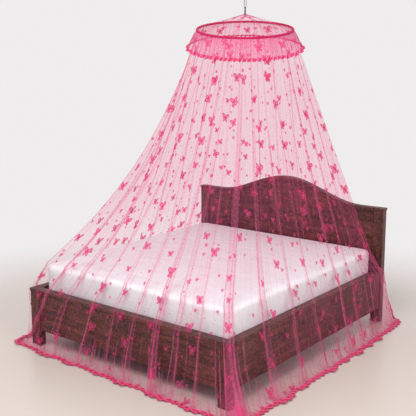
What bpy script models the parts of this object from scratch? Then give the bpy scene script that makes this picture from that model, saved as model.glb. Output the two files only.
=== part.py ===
"""Mosquito net canopy hung from a ceiling hook over a bed. Metres, +Z up, floor at z = 0.

The bed's foot is at -Y and its head at +Y. The net hangs from one hoop, falls over the mattress
and the bed's rails to the floor, and is tucked between the mattress and the headboard.
"""
import math

import bmesh
import bpy
import numpy as np
from mathutils import Vector

SEAT = 0.0003             # gap that keeps two touching pieces apart

# mattress
MAT_HALF_W = 0.900
MAT_FOOT_Y = -1.000
MAT_HEAD_Y = 1.000
MAT_BOTTOM = 0.3843
MAT_TOP = 0.635
MAT_CORNER_R = 0.070      # seen from above
MAT_EDGE_R = 0.030        # seen from the side

# bed frame
CAP_TOP = 0.455
CAP_THICK = 0.025
CAP_HALF_W = 0.975
CAP_WIDE = 0.070
CAP_FOOT_Y = -1.095
LEG_OUT_X = 0.970
LEG_W = 0.100
LEG_D = 0.056
LEG_FOOT_Y = -1.090
BOARD_THICK = 0.030
BOARD_BOTTOM = 0.125
BOARD_INSET = 0.008       # boards sit back from the legs' faces
BASE_BOTTOM = 0.366

# head of the bed
POST_W = 0.090
POST_D = 0.060
POST_FRONT_Y = 1.045
POST_TOP = 0.965
POST_CAP_THICK = 0.020
POST_CAP_OVER = 0.005
HEAD_PANEL_FRONT_Y = 1.060
HEAD_PANEL_BOTTOM = 0.300
ARCH_END = 0.955          # top of the panel beside the posts
ARCH_RISE = 0.180
ARCH_HALF = 0.740         # half width of the raised part
ARCH_STEPS = 30
CREST_THICK = 0.030
CREST_D = 0.070

# hoop and how it hangs
HOOP_Y = 0.405
HOOP_Z = 2.446
HOOP_R = 0.388
HOOP_TILT = math.radians(11.5)        # the loaded side hangs lower
HOOP_LOW_SIDE = (0.5803, -0.8144)     # towards the foot's right corner
HOOP_STEPS = 60
HOOP_BAR_R = 0.0060       # with the binding around it

# hook, swivel and crown
NECK_Z = 2.566
BARREL_R = 0.0065
BARREL_TOP = 2.604
BARREL_FOOT_Z = 2.548
BARREL_FOOT_R = 0.0080
TAB_W = 0.012
TAB_THICK = 0.0036
TAB_TOP = 2.622
TAB_HOLE_R = 0.0034
TAB_HOLE_Z = 2.6135
LINK_WIRE_R = 0.0022
LINK_HALF_W = 0.0130
LINK_LONG = 0.090
CROWN_COLUMNS = 40
CROWN_PLEATS = 8

# cloth
CLOTH_THICK = 0.0020
LACE_THICK = 0.0036
HEM_LACE_WIDE = 0.018
HEM_LACE_GAPS = (0.0010, 0.0026, 0.0062)      # from the hem: lying level, lying askew, climbing
FRILL_DROP = 0.134
FRILL_FLARE = 0.070
FRILL_COLUMNS = 96
FRILL_WAVES = 24
FRILL_WAVE = 0.0085
FRILL_LACE_WIDE = 0.026
FRILL_LACE_THICK = 0.0050

# net over the bed: gathered strands that run from the hoop to the hem.
# azimuth is seen from the hoop's centre, 0 towards the bed's right side and 90 towards its head
STRANDS = (
    # azimuth, swell
    (-168.0, 0.9), (-154.0, 1.2), (-141.0, 1.1), (-130.5, 0.8), (-122.6, 1.3), (-115.0, 0.8),
    (-108.5, 1.2), (-98.5, 1.2), (-91.0, 0.7), (-83.5, 1.1), (-76.0, 1.3), (-70.5, 0.9),
    (-64.5, 0.9), (-57.4, 1.7), (-48.5, 1.3), (-38.0, 0.8), (-27.0, 1.2), (-15.5, 0.9),
    (-4.5, 1.2), (7.5, 1.0), (18.0, 1.2), (68.0, 0.7), (90.0, 0.8), (111.0, 0.7),
    (162.0, 1.1), (176.0, 0.9),
)
STRAND_HALF = 2.1         # half width of a strand at the hoop, in degrees
HEAD_CORNER = 33.5        # azimuth of the mattress's head corner
BLEND = 5.0               # degrees over which the corner's own shape fades out
SAG = (
    # azimuth, sag
    (-90.0, 0.36), (-57.0, 0.42), (-20.0, 0.16), (33.0, 0.03), (60.0, 0.08), (90.0, 0.10),
)
# outline of the net where it passes each level: half width, foot end, head end, corner radius
LEVELS = (
    # name, half_w, foot_y, head_y, corner_r, z
    ("edge", 0.8895, -0.9895, 1.0020, 0.028, 0.6505),
    ("side", 0.9075, -1.0075, 1.0180, 0.032, 0.6080),
    ("rail", 0.9790, -1.0990, 1.0215, 0.004, 0.4590),
    ("under", 0.9810, -1.1010, 1.0215, 0.004, 0.4250),
    ("land", 1.0600, -1.1420, 1.0215, 0.060, 0.0110),
    ("hem", 1.1160, -1.1880, 1.0215, 0.110, 0.0036),
)
# height of each level where the net is tucked behind the mattress
HEAD_LOW = {"edge": 0.652, "side": 0.600, "rail": 0.520, "under": 0.480, "land": 0.440, "hem": 0.414}
# at each head corner the hem climbs from the floor, in front of the post and over the rail
CORNER = (
    # azimuth, level, x, y, z
    (26.5, "rail", 0.9815, 0.980, 0.4590), (26.5, "under", 0.985, 0.985, 0.4250),
    (26.5, "land", 1.066, 1.050, 0.0110), (26.5, "hem", 1.108, 1.096, 0.0036),
    (29.5, "rail", 0.9825, 1.003, 0.4590), (29.5, "under", 0.987, 1.009, 0.4250),
    (29.5, "land", 1.060, 1.116, 0.0110), (29.5, "hem", 1.084, 1.162, 0.0036),
    (32.0, "rail", 0.9835, 1.016, 0.4590), (32.0, "under", 0.990, 1.021, 0.4270),
    (32.0, "land", 1.034, 1.130, 0.0500), (32.0, "hem", 1.038, 1.152, 0.0260),
    (34.0, "rail", 0.9840, 1.023, 0.4610), (34.0, "under", 0.988, 1.029, 0.4420),
    (34.0, "land", 1.001, 1.080, 0.2740), (34.0, "hem", 1.003, 1.104, 0.2380),
    (36.0, "rail", 0.9820, 1.026, 0.4690), (36.0, "under", 0.985, 1.032, 0.4640),
    (36.0, "land", 0.988, 1.042, 0.4560), (36.0, "hem", 0.990, 1.052, 0.4470),
    (37.8, "rail", 0.9640, 1.024, 0.4930), (37.8, "under", 0.969, 1.025, 0.4890),
    (37.8, "land", 0.974, 1.0265, 0.4850), (37.8, "hem", 0.979, 1.028, 0.4810),
    (39.8, "rail", 0.9180, 1.0235, 0.5010), (39.8, "under", 0.926, 1.024, 0.4940),
    (39.8, "land", 0.933, 1.0245, 0.4870), (39.8, "hem", 0.939, 1.025, 0.4810),
    (42.4, "rail", 0.8760, 1.0225, 0.5150), (42.4, "under", 0.880, 1.023, 0.5000),
    (42.4, "land", 0.886, 1.0235, 0.4860), (42.4, "hem", 0.890, 1.024, 0.4740),
    (45.5, "rail", 0.8350, 1.022, 0.5190), (45.5, "under", 0.835, 1.022, 0.4800),
    (45.5, "land", 0.835, 1.022, 0.4400), (45.5, "hem", 0.835, 1.022, 0.4200),
)
ROWS = (
    # name, from level, to level, fraction, swell in mm
    ("top", "hoop", "edge", 0.000, 0.0), ("h1", "hoop", "edge", 0.012, 2.0),
    ("h2", "hoop", "edge", 0.070, 5.0), ("h3", "hoop", "edge", 0.170, 8.0),
    ("h4", "hoop", "edge", 0.290, 11.0), ("h5", "hoop", "edge", 0.420, 13.0),
    ("h6", "hoop", "edge", 0.550, 14.0), ("h7", "hoop", "edge", 0.680, 13.0),
    ("h8", "hoop", "edge", 0.800, 11.0), ("h9", "hoop", "edge", 0.900, 9.0),
    ("h10", "hoop", "edge", 0.965, 7.0), ("edge", "edge", "side", 0.000, 5.0),
    ("side", "edge", "side", 1.000, 6.0), ("rail", "side", "rail", 1.000, 9.0),
    ("under", "rail", "under", 1.000, 11.0), ("u1", "under", "land", 0.340, 19.0),
    ("u2", "under", "land", 0.680, 23.0), ("u3", "under", "land", 0.900, 25.0),
    ("land", "land", "hem", 0.000, 25.0), ("hem", "land", "hem", 1.000, 27.0),
)
FLOOR_SHIFT = (0.018, -0.030)         # how the net lies a little to the right on the floor


def new_object(name, verts, faces, colour, rough, metal=0.0, smooth=False):
    mesh = bpy.data.meshes.new(name)
    mesh.from_pydata([tuple(float(c) for c in v) for v in verts], [], faces)
    mesh.validate()
    bm = bmesh.new()
    bm.from_mesh(mesh)
    bmesh.ops.recalc_face_normals(bm, faces=bm.faces)
    bm.to_mesh(mesh)
    bm.free()
    for poly in mesh.polygons:
        poly.use_smooth = smooth
    obj = bpy.data.objects.new(name, mesh)
    bpy.context.scene.collection.objects.link(obj)
    mat = bpy.data.materials.new(name)
    mat.use_nodes = True
    shader = mat.node_tree.nodes["Principled BSDF"]
    shader.inputs["Base Color"].default_value = (*colour, 1.0)
    shader.inputs["Roughness"].default_value = rough
    shader.inputs["Metallic"].default_value = metal
    mesh.materials.append(mat)
    return obj


def box(name, low, high, colour, rough=0.45, bevel=0.0):
    x0, y0, z0 = low
    x1, y1, z1 = high
    verts = [(x, y, z) for z in (z0, z1) for y in (y0, y1) for x in (x0, x1)]
    faces = [(0, 2, 3, 1), (4, 5, 7, 6), (0, 1, 5, 4), (2, 6, 7, 3), (0, 4, 6, 2), (1, 3, 7, 5)]
    obj = new_object(name, verts, faces, colour, rough)
    if bevel:
        cut = obj.modifiers.new("edges", "BEVEL")
        cut.width = bevel
        cut.segments = 1
        cut.limit_method = "ANGLE"
    return obj


def loft(name, rings, colour, rough, metal=0.0, closed=True, capped=True, smooth=True):
    """Skin through rings of equal length; a closed loft joins its last ring to its first."""
    n, count = len(rings[0]), len(rings)
    verts = [p for ring in rings for p in ring]
    faces = []
    for i in range(count if closed else count - 1):
        a, b = i * n, ((i + 1) % count) * n
        faces += [(a + j, a + (j + 1) % n, b + (j + 1) % n, b + j) for j in range(n)]
    if capped and not closed:
        faces.append(tuple(range(n)))
        faces.append(tuple((count - 1) * n + j for j in range(n)))
    return new_object(name, verts, faces, colour, rough, metal, smooth)


def rounded(xi, eta, half_w, y0, y1, radius):
    """Point on a rounded rectangle for a place (xi, eta) on the sharp unit square."""
    mid, half_l = (y0 + y1) / 2, (y1 - y0) / 2
    x, y = half_w * xi, mid + half_l * eta
    cx = max(-half_w + radius, min(half_w - radius, x))
    cy = max(y0 + radius, min(y1 - radius, y))
    dx, dy = x - cx, y - cy
    far = math.hypot(dx, dy)
    return (cx + radius * dx / far, cy + radius * dy / far)


def wrap(angle):
    return (angle + 180.0) % 360.0 - 180.0


def direction(azimuth):
    a = math.radians(azimuth)
    return np.array([math.cos(a), math.sin(a), 0.0])


def hoop_frame():
    low = np.array([HOOP_LOW_SIDE[0], HOOP_LOW_SIDE[1], 0.0])
    level = np.array([-low[1], low[0], 0.0])
    up = np.array([0.0, 0.0, 1.0])
    down_slope = low * math.cos(HOOP_TILT) - up * math.sin(HOOP_TILT)
    axis = low * math.sin(HOOP_TILT) + up * math.cos(HOOP_TILT)
    return level, down_slope, axis, low


def hoop_point(azimuth, radius, height):
    level, slope, axis, low = hoop_frame()
    d = direction(azimuth)
    centre = np.array([0.0, HOOP_Y, HOOP_Z])
    return centre + radius * (level * float(d @ level) + slope * float(d @ low)) + axis * height


def square_place(azimuth):
    """Where the ray from the hoop's centre meets the mattress outline, as (xi, eta) in -1..1."""
    d = direction(azimuth)
    reach = []
    if abs(d[0]) > 1e-9:
        reach.append(MAT_HALF_W / abs(d[0]))
    if abs(d[1]) > 1e-9:
        reach.append(((MAT_HEAD_Y if d[1] > 0 else MAT_FOOT_Y) - HOOP_Y) / d[1])
    t = min(reach)
    x, y = t * d[0], HOOP_Y + t * d[1]
    mid, half_l = (MAT_FOOT_Y + MAT_HEAD_Y) / 2, (MAT_HEAD_Y - MAT_FOOT_Y) / 2
    return x / MAT_HALF_W, (y - mid) / half_l


def from_table(table, at):
    keys = [row[0] for row in table]
    return float(np.interp(at, keys, [row[1] for row in table]))


def head_side(azimuth):
    """The same azimuth on the right half of the bed, as -90..90."""
    a = wrap(azimuth)
    return a if -90.0 <= a <= 90.0 else wrap(180.0 - a)


def level_point(azimuth, name):
    """Where the net passes one of the levels; head corners follow their own table."""
    _, half_w, y0, y1, radius, z = next(row for row in LEVELS if row[0] == name)
    xi, eta = square_place(azimuth)
    x, y = rounded(xi, eta, half_w, y0, y1, radius)
    right = head_side(azimuth)
    keys = [row for row in CORNER if row[1] == name]
    if right > HEAD_CORNER:
        z = HEAD_LOW[name]
    plain = np.array([abs(x), y, z])
    if keys and keys[0][0] - BLEND < right < keys[-1][0] + BLEND:
        at = [row[0] for row in keys]
        held = np.array([np.interp(right, at, [row[k] for row in keys]) for k in (2, 3, 4)])
        near = min(1.0, (right - at[0]) / BLEND + 1.0, (at[-1] - right) / BLEND + 1.0)
        plain = plain * (1.0 - near) + held * near
    side = 1.0 if math.cos(math.radians(azimuth)) >= 0 else -1.0
    if name in ("land", "hem") and right < keys[0][0]:
        fade = min(1.0, (keys[0][0] - right) / 30.0)
        plain[0] += side * FLOOR_SHIFT[0] * fade
        plain[1] += side * FLOOR_SHIFT[1] * fade * max(0.0, -eta) * min(1.0, abs(xi))
    return np.array([side * plain[0], plain[1], plain[2]])


def outward(azimuth):
    """Level direction square to the net's outline, rounded at the corners."""
    ahead = level_point(azimuth + 1.0, "side")
    behind = level_point(azimuth - 1.0, "side")
    run = ahead - behind
    out = np.array([run[1], -run[0], 0.0])
    return out / np.linalg.norm(out)


def net_path(azimuth):
    """The net's middle surface from hoop to hem along one azimuth, without its strands."""
    level = {row[0]: level_point(azimuth, row[0]) for row in LEVELS}
    top = hoop_point(azimuth, HOOP_R - 0.0008, -(HOOP_BAR_R + 0.0004))
    sag = from_table(SAG, head_side(azimuth))
    path = []
    for _, start, end, f, _ in ROWS:
        if start == "hoop":
            bend = (1.0 - sag) * f + sag * f ** 3
            a, b = top, level[end]
            path.append(np.array([a[0] + (b[0] - a[0]) * bend, a[1] + (b[1] - a[1]) * bend,
                                  a[2] + (b[2] - a[2]) * f]))
        else:
            path.append(level[start] * (1.0 - f) + level[end] * f)
    return path


def net_columns():
    """Azimuths of the net's columns: each strand's foot, crest and foot, and a place between.

    Round each head corner the columns are those of the corner's own table."""
    corner = sorted({row[0] for row in CORNER})
    order = sorted((wrap(a), swell) for a, swell in STRANDS)
    columns = []
    for azimuth, swell in order:
        columns += [(azimuth - STRAND_HALF, 0.0), (azimuth, swell), (azimuth + STRAND_HALF, 0.0)]
    columns += [(a, 0.0) for a in corner] + [(180.0 - a, 0.0) for a in corner]
    columns.sort()
    filled = []
    for i, (azimuth, swell) in enumerate(columns):
        filled.append((azimuth, swell))
        following = columns[(i + 1) % len(columns)][0] + (360.0 if i + 1 == len(columns) else 0.0)
        if following - azimuth > 4.2:
            filled.append(((azimuth + following) / 2, 0.0))
    return filled


def net_surface(columns):
    grid = []
    for azimuth, swell in columns:
        out = outward(azimuth) * 0.6 + direction(azimuth) * 0.4
        out /= np.linalg.norm(out)
        right = head_side(azimuth)
        tucked = min(1.0, max(0.0, (right - 24.0) / 6.0))
        column = []
        for point, (name, _, _, _, rise) in zip(net_path(azimuth), ROWS):
            lift = rise * swell / 1000.0
            if name in ("land", "hem"):
                column.append(point + out * lift * (1.0 - tucked) + np.array([0, 0, 0.25 * lift]))
            elif point[2] < 0.70:
                column.append(point + out * lift * (1.0 - tucked))
            else:
                column.append(point + out * lift)
        grid.append(column)
    return np.array(grid)


def surface_normals(grid):
    """Unit normals of a grid that closes on itself along its first axis, pointing outwards."""
    along = np.roll(grid, -1, axis=0) - np.roll(grid, 1, axis=0)
    down = np.gradient(grid, axis=1)
    normal = np.cross(down, along)
    return normal / np.linalg.norm(normal, axis=2, keepdims=True)


def sheet_solid(name, grid, thick, colour, rough=0.8):
    """Closed tube of cloth of even thickness around the grid's middle surface."""
    columns, rows = grid.shape[0], grid.shape[1]
    normal = surface_normals(grid)
    outer, inner = grid + normal * thick / 2, grid - normal * thick / 2
    verts = [p for col in outer for p in col] + [p for col in inner for p in col]
    half = columns * rows
    faces = []
    for c in range(columns):
        d = (c + 1) % columns
        for r in range(rows - 1):
            a, b, e, f = c * rows + r, c * rows + r + 1, d * rows + r + 1, d * rows + r
            faces.append((a, b, e, f))
            faces.append((half + a, half + f, half + e, half + b))
        top, top_next = c * rows, d * rows
        low, low_next = c * rows + rows - 1, d * rows + rows - 1
        faces.append((top, top_next, half + top_next, half + top))
        faces.append((low, half + low, half + low_next, low_next))
    return new_object(name, verts, faces, colour, rough, smooth=True)


def strip_solid(name, start, end, thick, normal, colour):
    """Closed band between two loops of points, of even thickness."""
    half = normal * thick / 2
    rings = [[start[i] + half[i], end[i] + half[i], end[i] - half[i], start[i] - half[i]]
             for i in range(len(start))]
    return loft(name, rings, colour, 0.75)


def build_mattress():
    def ring(inset, z):
        points = []
        for cx, cy, first in ((1, 1, 0), (-1, 1, 90), (-1, -1, 180), (1, -1, 270)):
            radius = MAT_CORNER_R - inset
            x = cx * (MAT_HALF_W - MAT_CORNER_R)
            y = MAT_HEAD_Y - MAT_CORNER_R if cy > 0 else MAT_FOOT_Y + MAT_CORNER_R
            for k in range(6):
                a = math.radians(first + 18 * k)
                points.append((x + radius * math.cos(a), y + radius * math.sin(a), z))
        return points

    rings = []
    for a in (0, 30, 60, 90):
        inset = MAT_EDGE_R * (1 - math.sin(math.radians(a)))
        rings.append(ring(inset, MAT_BOTTOM + MAT_EDGE_R * (1 - math.cos(math.radians(a)))))
    for a in (90, 60, 30, 0):
        inset = MAT_EDGE_R * (1 - math.sin(math.radians(a)))
        rings.append(ring(inset, MAT_TOP - MAT_EDGE_R * (1 - math.cos(math.radians(a)))))
    loft("mattress", rings, (0.92, 0.90, 0.90), 0.85, closed=False)


def arch(x):
    if abs(x) >= ARCH_HALF:
        return ARCH_END
    return ARCH_END + ARCH_RISE * 0.5 * (1.0 + math.cos(math.pi * x / ARCH_HALF))


def build_headboard(wood):
    inner_x = LEG_OUT_X - POST_W - SEAT
    xs = [-inner_x] + [ARCH_HALF * (2.0 * i / ARCH_STEPS - 1.0) for i in range(ARCH_STEPS + 1)]
    xs.append(inner_x)
    y0, y1 = HEAD_PANEL_FRONT_Y, HEAD_PANEL_FRONT_Y + BOARD_THICK
    rings = [[(x, y0, HEAD_PANEL_BOTTOM), (x, y0, arch(x)), (x, y1, arch(x)),
              (x, y1, HEAD_PANEL_BOTTOM)] for x in xs]
    loft("headboard_panel", rings, wood, 0.45, closed=False, smooth=False)
    y0, y1 = POST_FRONT_Y - POST_CAP_OVER, POST_FRONT_Y - POST_CAP_OVER + CREST_D
    rings = []
    for x in xs:
        low, high = arch(x) + SEAT, arch(x) + CREST_THICK
        rings.append([(x, y0, low), (x, y0, high - 0.008), (x, y0 + 0.008, high),
                      (x, y1 - 0.008, high), (x, y1, high - 0.008), (x, y1, low)])
    loft("headboard_crest", rings, wood, 0.45, closed=False, smooth=False)


def build_frame():
    wood = (0.090, 0.032, 0.024)
    cap_low = CAP_TOP - CAP_THICK
    board_top = cap_low - SEAT
    leg_in = LEG_OUT_X - LEG_W
    foot_back = LEG_FOOT_Y + LEG_D
    for side, sign in (("right", 1), ("left", -1)):
        def place(name, x0, x1, y0, y1, z0, z1, bevel):
            low, high = sorted((sign * x0, sign * x1))
            box(name + "_" + side, (low, y0, z0), (high, y1, z1), wood, 0.45, bevel)

        place("foot_leg", leg_in, LEG_OUT_X, LEG_FOOT_Y, foot_back, 0.0, board_top, 0.003)
        place("head_post", LEG_OUT_X - POST_W, LEG_OUT_X, POST_FRONT_Y, POST_FRONT_Y + POST_D,
              0.0, POST_TOP, 0.003)
        place("post_cap", LEG_OUT_X - POST_W, LEG_OUT_X + POST_CAP_OVER,
              POST_FRONT_Y - POST_CAP_OVER, POST_FRONT_Y + POST_D + POST_CAP_OVER,
              POST_TOP + SEAT, POST_TOP + POST_CAP_THICK, 0.003)
        rail_out = LEG_OUT_X - BOARD_INSET
        place("side_rail", rail_out - BOARD_THICK, rail_out, foot_back + SEAT,
              POST_FRONT_Y - SEAT, BOARD_BOTTOM, board_top, 0.0)
        place("side_cap", CAP_HALF_W - CAP_WIDE, CAP_HALF_W, CAP_FOOT_Y + CAP_WIDE + SEAT,
              POST_FRONT_Y - SEAT, cap_low, CAP_TOP, 0.003)
    box("foot_cap", (-CAP_HALF_W, CAP_FOOT_Y, cap_low),
        (CAP_HALF_W, CAP_FOOT_Y + CAP_WIDE, CAP_TOP), wood, 0.45, 0.003)
    panel_front = LEG_FOOT_Y + BOARD_INSET
    box("foot_panel", (-leg_in + SEAT, panel_front, BOARD_BOTTOM),
        (leg_in - SEAT, panel_front + BOARD_THICK, board_top), wood)
    base_half = LEG_OUT_X - BOARD_INSET - BOARD_THICK - SEAT
    box("mattress_base", (-base_half, foot_back + SEAT, BASE_BOTTOM),
        (base_half, POST_FRONT_Y - SEAT, MAT_BOTTOM - SEAT), wood)
    build_headboard(wood)


def build_hoop():
    rings = []
    for i in range(HOOP_STEPS):
        azimuth = 360.0 * i / HOOP_STEPS
        rings.append([hoop_point(azimuth, HOOP_R + HOOP_BAR_R * math.cos(a), HOOP_BAR_R * math.sin(a))
                      for a in (math.pi * (k + 0.5) / 4 for k in range(8))])
    loft("bound_hoop", rings, (0.74, 0.03, 0.16), 0.75)


def turned(name, profile, steps, colour, rough, metal):
    """Solid of revolution about the hook's vertical line, from (radius, z) pairs."""
    rings = [[(r * math.cos(2 * math.pi * k / steps), HOOP_Y + r * math.sin(2 * math.pi * k / steps), z)
              for k in range(steps)] for r, z in profile]
    return loft(name, rings, colour, rough, metal, closed=False)


def build_hook():
    metal = (0.60, 0.60, 0.62)
    swivel = turned("swivel", ((BARREL_FOOT_R, BARREL_FOOT_Z), (BARREL_FOOT_R, BARREL_FOOT_Z + 0.004),
                               (BARREL_R, BARREL_FOOT_Z + 0.006), (BARREL_R, BARREL_TOP - 0.003),
                               (BARREL_R - 0.0015, BARREL_TOP)), 16, metal, 0.25, 1.0)
    tab = box("swivel_tab", (-TAB_W / 2, HOOP_Y - TAB_THICK / 2, BARREL_TOP - 0.004),
              (TAB_W / 2, HOOP_Y + TAB_THICK / 2, TAB_TOP), metal, 0.25)
    hole_ring = [(TAB_HOLE_R * math.cos(2 * math.pi * k / 16), TAB_HOLE_Z + TAB_HOLE_R *
                  math.sin(2 * math.pi * k / 16)) for k in range(16)]
    hole = loft("swivel_hole", [[(x, HOOP_Y + y, z) for x, z in hole_ring] for y in (-0.01, 0.01)],
                metal, 0.25, 1.0, closed=False, smooth=False)
    for tool, kind in ((tab, "UNION"), (hole, "DIFFERENCE")):
        cut = swivel.modifiers.new(tool.name, "BOOLEAN")
        cut.operation = kind
        cut.solver = "EXACT"
        cut.object = tool
        tool.hide_render = True
        tool.display_type = "WIRE"
    bottom = TAB_HOLE_Z + TAB_HOLE_R - 2 * LINK_WIRE_R - SEAT * 2
    straight = LINK_LONG - 2 * LINK_HALF_W
    middle = bottom + LINK_WIRE_R + LINK_HALF_W + straight / 2
    path = []
    for k in range(20):
        a = 2 * math.pi * k / 20
        shift = straight / 2 if math.sin(a) >= 0 else -straight / 2
        path.append((LINK_HALF_W * math.cos(a), middle + shift + LINK_HALF_W * math.sin(a)))
        if k in (0, 10):
            path.insert(len(path) - (1 if k == 0 else 0),
                        (LINK_HALF_W * math.cos(a), middle - shift))
    rings = []
    for i, (y, z) in enumerate(path):
        before, after = path[i - 1], path[(i + 1) % len(path)]
        run = Vector((0.0, after[0] - before[0], after[1] - before[1])).normalized()
        side = run.cross(Vector((1.0, 0.0, 0.0)))
        rings.append([tuple(Vector((0.0, HOOP_Y + y, z)) + LINK_WIRE_R * (
            Vector((1.0, 0.0, 0.0)) * math.cos(b) + side * math.sin(b)))
            for b in (math.pi * k / 3 for k in range(6))])
    loft("hook_link", rings, metal, 0.25, 1.0)


def build_crown():
    """Shallow cone of net from a gathered neck on the swivel down to the bound hoop."""
    grid = []
    for c in range(CROWN_COLUMNS):
        azimuth = 360.0 * c / CROWN_COLUMNS
        pleat = 0.5 - 0.5 * math.cos(2 * math.pi * CROWN_PLEATS * c / CROWN_COLUMNS)
        low = hoop_point(azimuth, HOOP_R - 0.0010, HOOP_BAR_R + 0.0009)
        neck = np.array([0.0, HOOP_Y, NECK_Z]) + direction(azimuth) * (BARREL_R + 0.0016)
        neck_top = neck + np.array([0.0, 0.0, 0.009])
        column = [low]
        for f, drop, fold in ((0.40, 0.009, 0.006), (0.90, 0.005, 0.003)):
            at = low * (1 - f) + neck * f
            column.append(at - np.array([0, 0, drop]) + np.array([0, 0, fold * pleat]))
        column += [neck, neck_top]
        grid.append(column[::-1])
    sheet_solid("crown_net", np.array(grid), CLOTH_THICK, (0.85, 0.25, 0.42))


def build_frill():
    """Gathered flounce that hangs outside the net from the hoop, with a ruched lace edge."""
    grid, start, end, normal = [], [], [], []
    for c in range(FRILL_COLUMNS):
        azimuth = 360.0 * c / FRILL_COLUMNS
        wave = math.sin(2 * math.pi * FRILL_WAVES * c / FRILL_COLUMNS)
        wave *= 1.0 + 0.35 * math.sin(math.radians(3 * azimuth + 40))
        d = direction(azimuth)
        top = hoop_point(azimuth, HOOP_R + 0.0036, -(HOOP_BAR_R - 0.0004))
        column = []
        for f in (0.0, 0.10, 0.50, 1.0):
            flare = FRILL_FLARE * (0.25 * f ** 0.5 + 0.75 * f) + FRILL_WAVE * wave * f
            column.append(top + d * flare - np.array([0.0, 0.0, FRILL_DROP * f]))
        grid.append(column)
        low = column[-1]
        ruche = 0.0035 * math.sin(2 * math.pi * FRILL_WAVES * 2 * c / FRILL_COLUMNS + 0.8)
        run = np.array([0.0, 0.0, -1.0]) * 0.90 + d * (0.44 + 14.0 * ruche)
        run /= np.linalg.norm(run)
        start.append(low + run * 0.0006)
        end.append(low + run * (FRILL_LACE_WIDE + ruche))
        out = np.array([d[0], d[1], 0.5])
        normal.append(out / np.linalg.norm(out))
    sheet_solid("frill_net", np.array(grid), CLOTH_THICK, (0.85, 0.22, 0.40))
    strip_solid("frill_lace", np.array(start), np.array(end), FRILL_LACE_THICK, np.array(normal),
                (0.80, 0.05, 0.22))


def build_skirt():
    grid = net_surface(net_columns())
    sheet_solid("skirt_net", grid, CLOTH_THICK, (0.87, 0.30, 0.46))
    normal = surface_normals(grid)[:, -1]
    last, before = grid[:, -1], grid[:, -2]
    flat = last[:, 2] < 0.03
    run = last - before
    share = np.clip((np.abs(last[:, 0]) - 0.94) / 0.05, 0.0, 1.0)
    free = np.stack([np.sign(last[:, 0]) * 2.8 * share * (1.0 - share), share, share - 1.0], axis=1)
    run = np.where(flat[:, None], run, free)
    run /= np.linalg.norm(run, axis=1, keepdims=True)
    level = flat & (normal[:, 2] > 0.93)
    level_gap, askew_gap, climbing_gap = HEM_LACE_GAPS
    gap = np.where(level, level_gap, np.where(flat, askew_gap, climbing_gap))
    start = last + run * gap[:, None]
    end = last + run * HEM_LACE_WIDE
    for loop in (start, end):
        loop[flat, 2] = np.maximum(loop[flat, 2] * 0.6, LACE_THICK / 2)
    normal[flat] = (0.0, 0.0, 1.0)
    normal[~flat] *= 0.5
    strip_solid("hem_lace", start, end, LACE_THICK, normal, (0.80, 0.05, 0.22))


def main():
    for obj in list(bpy.data.objects):
        bpy.data.objects.remove(obj, do_unlink=True)
    build_mattress()
    build_frame()
    build_hoop()
    build_hook()
    build_crown()
    build_frill()
    build_skirt()
    bpy.context.view_layer.update()
    points = np.array([obj.matrix_world @ v.co for obj in bpy.data.objects for v in obj.data.vertices
                       if not obj.hide_render])
    middle = (points.min(axis=0) + points.max(axis=0)) / 2
    for obj in bpy.data.objects:
        obj.location = (-middle[0], -middle[1], 0.0)


main()
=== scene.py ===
"""Looks of a mosquito net canopy that hangs over a bed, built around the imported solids. Metres, +Z up."""
import math

import bpy
import numpy as np
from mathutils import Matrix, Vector


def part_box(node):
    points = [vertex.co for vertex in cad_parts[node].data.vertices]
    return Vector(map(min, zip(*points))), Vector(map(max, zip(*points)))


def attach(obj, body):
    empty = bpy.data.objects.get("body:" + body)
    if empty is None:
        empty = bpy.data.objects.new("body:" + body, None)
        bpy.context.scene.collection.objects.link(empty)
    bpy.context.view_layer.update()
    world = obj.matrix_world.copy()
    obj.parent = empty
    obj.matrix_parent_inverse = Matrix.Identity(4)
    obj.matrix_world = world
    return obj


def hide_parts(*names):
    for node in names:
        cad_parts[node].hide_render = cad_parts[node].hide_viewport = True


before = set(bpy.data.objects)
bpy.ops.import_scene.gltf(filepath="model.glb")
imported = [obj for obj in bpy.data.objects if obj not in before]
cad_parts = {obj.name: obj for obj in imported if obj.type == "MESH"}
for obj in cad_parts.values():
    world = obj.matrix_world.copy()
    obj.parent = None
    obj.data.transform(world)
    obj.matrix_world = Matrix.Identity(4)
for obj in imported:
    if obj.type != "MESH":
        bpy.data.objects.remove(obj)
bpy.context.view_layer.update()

BED_LOW, BED_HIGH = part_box("mattress")
SHIFT = np.array([(BED_LOW.x + BED_HIGH.x) / 2, (BED_LOW.y + BED_HIGH.y) / 2, 0.0])

# colours, linear
NET_PINK = (0.670, 0.180, 0.335)
NET_DEEP = (0.600, 0.080, 0.210)
NET_PASSES = (1.000, 0.905, 0.930)       # what one layer of net lets through
MOTIF_PINK = (0.640, 0.062, 0.185)
MOTIF_PASSES = (0.880, 0.080, 0.230)
# the darker binding colour is painted shade for the hollows of its ruching
BINDING_SHADE = (0.360, 0.004, 0.058)
BINDING_PINK = (0.620, 0.014, 0.115)
# the darker trim pink is painted shade for the lace's hollows, the lighter one a painted highlight on its
# ridges
TRIM_SHADE = (0.480, 0.008, 0.075)
TRIM_PINK = (0.680, 0.026, 0.145)
TRIM_HIGHLIGHT = (0.780, 0.170, 0.350)
WOOD_DARK = (0.024, 0.0075, 0.0062)
WOOD_LIGHT = (0.205, 0.060, 0.046)
COTTON = (0.725, 0.772, 0.780)
# greyer cotton for the creases' hollows: painted shade
COTTON_CREASE_SHADE = (0.675, 0.700, 0.712)
SWIVEL_STEEL = ((0.060, 0.050, 0.038), (0.300, 0.255, 0.200))
# the hook link's steel is made nearly black, as painted shade on the link
LINK_STEEL_SHADED = ((0.010, 0.009, 0.008), (0.040, 0.036, 0.030))
NET_SHEEN = (1.0, 0.60, 0.75, 1.0)
LACE_SHEEN = (1.0, 0.62, 0.76, 1.0)
BINDING_SHEEN = (1.0, 0.35, 0.60, 1.0)
FLOOR = (0.578, 0.513, 0.461)
ROOM = (0.865, 0.840, 0.850)

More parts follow.
